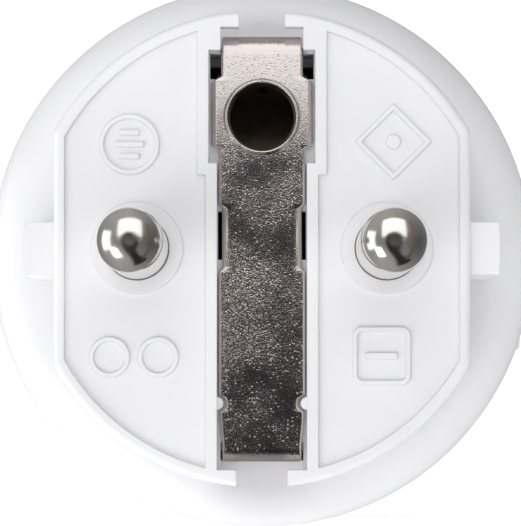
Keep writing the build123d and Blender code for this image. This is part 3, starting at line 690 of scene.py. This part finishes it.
class METER_OT_studio(bpy.types.Operator):
    """Camera, soft lights, pale floor and white room"""
    bl_idname = "meter.studio"
    bl_label = "Studio"

    def execute(self, context):
        scene = context.scene
        settings = scene.meter_studio
        # camera: a long lens, almost square on to the plug face and slightly below it
        lens_mm = 284.6
        stand_off = 316.0 * MM
        below = math.radians(1.9)
        camera = bpy.data.cameras.new("Camera")
        camera.lens = lens_mm
        camera.sensor_width = 36.0
        camera.clip_start = 0.01
        eye = Vector((0, -stand_off * math.cos(below), -stand_off * math.sin(below)))
        aim = Vector((-0.11 * MM, 0, -1.14 * MM))
        camera_object = bpy.data.objects.new("Camera", camera)
        camera_object.location = eye
        camera_object.rotation_euler = (aim - eye).to_track_quat("-Z", "Y").to_euler()
        scene.collection.objects.link(camera_object)
        scene.camera = camera_object
        # lights
        middle = Vector((0, 0.02, 0))
        for name, place, size, power in (
                ("Key", (-0.56, -0.48, -0.5), 0.42, settings.key_power),
                ("Top", (0.0, -0.75, 0.62), 1.2, settings.top_power),
                ("Side", (-0.95, -0.14, 0.0), 0.8, settings.side_power)):
            lamp = bpy.data.lights.new(name, "AREA")
            lamp.shape = "SQUARE"
            lamp.size = size
            lamp.energy = power
            lamp_object = bpy.data.objects.new(name, lamp)
            lamp_object.location = place
            lamp_object.rotation_euler = (middle - Vector(place)).to_track_quat("-Z", "Y").to_euler()
            scene.collection.objects.link(lamp_object)
        # white room, a little darker to the right of the object
        world = bpy.data.worlds.new("Room")
        world.use_nodes = True
        tree = world.node_tree
        tree.nodes.clear()
        direction = add_node(tree, "ShaderNodeTexCoord").outputs["Generated"]
        split = add_node(tree, "ShaderNodeSeparateXYZ", {"Vector": direction})
        tone = ramp(tree, spread(tree, split.outputs["X"], 0.0, 1.0, -1.0, 1.0), [
            (0.0, (1, 1, 1, 1)), (0.45, (0.95, 0.95, 0.96, 1)), (1.0, (0.42, 0.42, 0.44, 1))])
        level = add_node(tree, "ShaderNodeMath", {
            0: spread(tree, split.outputs["Z"], 1.0, 1.75, 0.1, 0.9),
            1: spread(tree, split.outputs["Z"], 1.5, 1.0, -0.9, -0.2)}, operation="MULTIPLY")
        level = add_node(tree, "ShaderNodeMath", {0: level.outputs["Value"], 1: settings.room},
                         operation="MULTIPLY")
        back = add_node(tree, "ShaderNodeBackground", {"Color": tone, "Strength": level.outputs["Value"]})
        output = add_node(tree, "ShaderNodeOutputWorld")
        tree.links.new(back.outputs["Background"], output.inputs["Surface"])
        scene.world = world
        scene.view_settings.view_transform = "Standard"
        # floor and back wall in one sweep
        floor_z = CAD_BOX[0][2] - 0.05 * MM
        outline = [(-1.6, floor_z), (0.9, floor_z)]
        for step in range(1, 13):
            turn = math.radians(90 * step / 12)
            outline.append((0.9 + 0.5 * math.sin(turn), floor_z + 0.5 * (1 - math.cos(turn))))
        outline.append((1.4, 2.2))
        mesh = bpy.data.meshes.new("Backdrop")
        sweep = bmesh.new()
        rows = [[sweep.verts.new((x, y, z)) for x in (-2.0, 2.0)] for y, z in outline]
        for low, high in zip(rows, rows[1:]):
            sweep.faces.new((low[0], low[1], high[1], high[0]))
        sweep.to_mesh(mesh)
        sweep.free()
        for face in mesh.polygons:
            face.use_smooth = True
        backdrop = bpy.data.objects.new("Backdrop", mesh)
        scene.collection.objects.link(backdrop)
        # opal acrylic table, lit from below and behind
        paper, paper_tree, paper_output = new_finish("Acrylic_table_opal")
        place = add_node(paper_tree, "ShaderNodeTexCoord").outputs["Object"]
        fibre = add_node(paper_tree, "ShaderNodeTexNoise", {"Vector": place, "Scale": per_mm(40)})
        shader = add_node(paper_tree, "ShaderNodeBsdfPrincipled", {
            "Base Color": ramp(paper_tree, fibre.outputs["Fac"], [
                (0.3, linear("f7f7f7")), (0.7, linear("fafafa"))]),
            "Roughness": 0.9, "Emission Color": (1, 1, 1, 1), "Emission Strength": spread(
                paper_tree, add_node(paper_tree, "ShaderNodeSeparateXYZ", {"Vector": place}).outputs["Z"],
                0.42, 0.78, -0.02, 0.1)})
        paper_tree.links.new(shader.outputs["BSDF"], paper_output.inputs["Surface"])
        mesh.materials.append(paper)
        # the table shows and takes shadow, but stands aside for the lamps and the mirrored room
        backdrop.visible_glossy = False
        backdrop.visible_shadow = False
        # flags that only the plated metal mirrors: black velvet behind the lens, cork at the right
        velvet = flag_cloth("Velvet_flag_black", 8, "19181b", "222124")
        cork = flag_cloth("Cork_board_pressed", 30, "5b4e33", "7b6b49")
        for name, finish, rows in (
                ("Flag_lens", velvet, ((10, 90, 9), (5, 90, 13), (6, -90, 14), (25, -86, 12), (50, -74, 11),
                                       (75, -66, 15), (95, -64, 18))),
                ("Flag_right", cork, ((80, 44, 9), (64, 22, 15), (60, -4, 19), (62, -30, 18), (76, -52, 13)))):
            flag_work = bmesh.new()
            pairs = []
            for away, around, half in rows:
                away, around, half = (math.radians(v) for v in (away, around, half))
                out = Vector((math.cos(around), 0, math.sin(around)))
                aside = Vector((0, 1, 0)).cross(out)
                middle_way = Vector((0, -math.cos(away), 0)) + out * math.sin(away)
                if around == math.radians(90):
                    aside = -aside
                pairs.append([flag_work.verts.new((middle_way + aside * s * math.tan(half)) * FLAG_REACH)
                              for s in (-1, 1)])
            for low, high in zip(pairs, pairs[1:]):
                flag_work.faces.new((low[0], low[1], high[1], high[0]))
            flag = finished(name, flag_work, finish)
            flag.visible_camera = False
            flag.visible_diffuse = False
            flag.visible_shadow = False
        return {"FINISHED"}


class METER_PT_panel(bpy.types.Panel):
    """Lists the pieces and the studio"""
    bl_idname = "METER_PT_panel"
    bl_label = "Power meter"
    bl_space_type = "VIEW_3D"
    bl_region_type = "UI"
    bl_category = "Power meter"

    def draw(self, context):
        layout = self.layout
        layout.prop(context.scene.meter_shell, "tone")
        layout.prop(context.scene.meter_shell, "roughness")
        for name in ("gauge", "pitting"):
            layout.prop(context.scene.meter_strap, name)
        for name in ("key_power", "side_power", "top_power", "room"):
            layout.prop(context.scene.meter_studio, name)
        for operator in OPERATORS:
            layout.operator(operator.bl_idname)


SETTINGS = (MeterShellSettings, MeterStrapSettings, MeterStudioSettings)
OPERATORS = (METER_OT_housing, METER_OT_channel_pegs, METER_OT_plug_metal, METER_OT_earth_strap,
             METER_OT_boards, METER_OT_board_work, METER_OT_studio)


def register():
    for cls in (*SETTINGS, *OPERATORS, METER_PT_panel):
        bpy.utils.register_class(cls)
    bpy.types.Scene.meter_shell = bpy.props.PointerProperty(type=MeterShellSettings)
    bpy.types.Scene.meter_strap = bpy.props.PointerProperty(type=MeterStrapSettings)
    bpy.types.Scene.meter_studio = bpy.props.PointerProperty(type=MeterStudioSettings)


def unregister():
    del bpy.types.Scene.meter_studio
    del bpy.types.Scene.meter_strap
    del bpy.types.Scene.meter_shell
    for cls in reversed((*SETTINGS, *OPERATORS, METER_PT_panel)):
        bpy.utils.unregister_class(cls)


def main():
    register()
    bpy.ops.meter.housing()
    bpy.ops.meter.channel_pegs()
    bpy.ops.meter.plug_metal()
    bpy.ops.meter.earth_strap()
    bpy.ops.meter.boards()
    bpy.ops.meter.board_work()
    bpy.ops.meter.studio()


if __name__ == "__main__":
    main()
